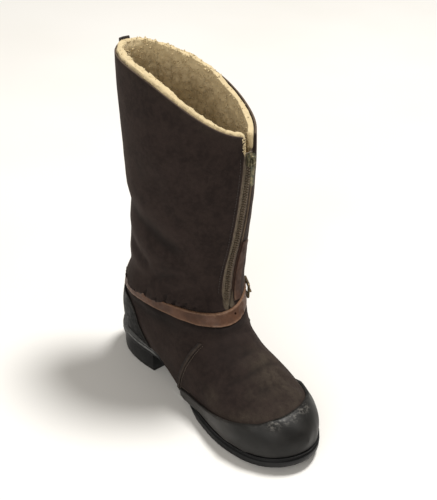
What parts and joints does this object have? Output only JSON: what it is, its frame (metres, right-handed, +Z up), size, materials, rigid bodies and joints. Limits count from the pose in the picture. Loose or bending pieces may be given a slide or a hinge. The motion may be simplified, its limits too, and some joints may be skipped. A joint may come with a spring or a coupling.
{
  "type": "flying boot",
  "caption": "Sheepskin flying boot for the left foot: dark suede upper lined with fleece, flared shaft with front zip, buckled ankle strap, black rubber toe rand, heel counter and heeled sole",
  "frame": {"origin": "on the floor, under the middle of the heel", "axes": "+X to the toe, +Y to the outer side of the foot, +Z up"},
  "size_m": [0.3104, 0.1251, 0.378],
  "materials": {
    "suede": "napped suede, worn",
    "sole_rubber": "moulded, worn",
    "rand_rubber": "satin, scuffed",
    "insole_felt": "felted",
    "counter_leather": "polished, worn",
    "strap_leather": "smooth, worn",
    "facing_leather": "smooth, worn",
    "tab_leather": "smooth, worn",
    "zip_cloth": "woven",
    "aged_brass": "aged",
    "fleece": "deep pile"
  },
  "bodies": {
    "boot": {"outsole": "sole_rubber", "heel": "sole_rubber", "insole": "insole_felt", "upper": "suede", "toe_rand": "rand_rubber", "heel_counter": "counter_leather", "outer_seam": "suede", "inner_seam": "suede", "ankle_strap": "strap_leather", "strap_end": "strap_leather", "strap_keeper": "strap_leather", "buckle_frame": "aged_brass", "buckle_prong": "aged_brass", "zip_tape": "zip_cloth", "zip_chain": "aged_brass", "zip_facing": "facing_leather", "zip_slider": "aged_brass", "fleece_lining": "fleece", "pull_tab": "tab_leather"},
    "pull": {"zip_pull": "aged_brass"}
  },
  "joints": [
    {"name": "pull_hinge", "type": "hinge", "parent": "boot", "child": "pull", "pos_m": [0.13243, 0.01896, 0.29622], "axis": [-0.0046, -0.9978, 0.0659], "range_deg": [0, 150]}
  ]
}
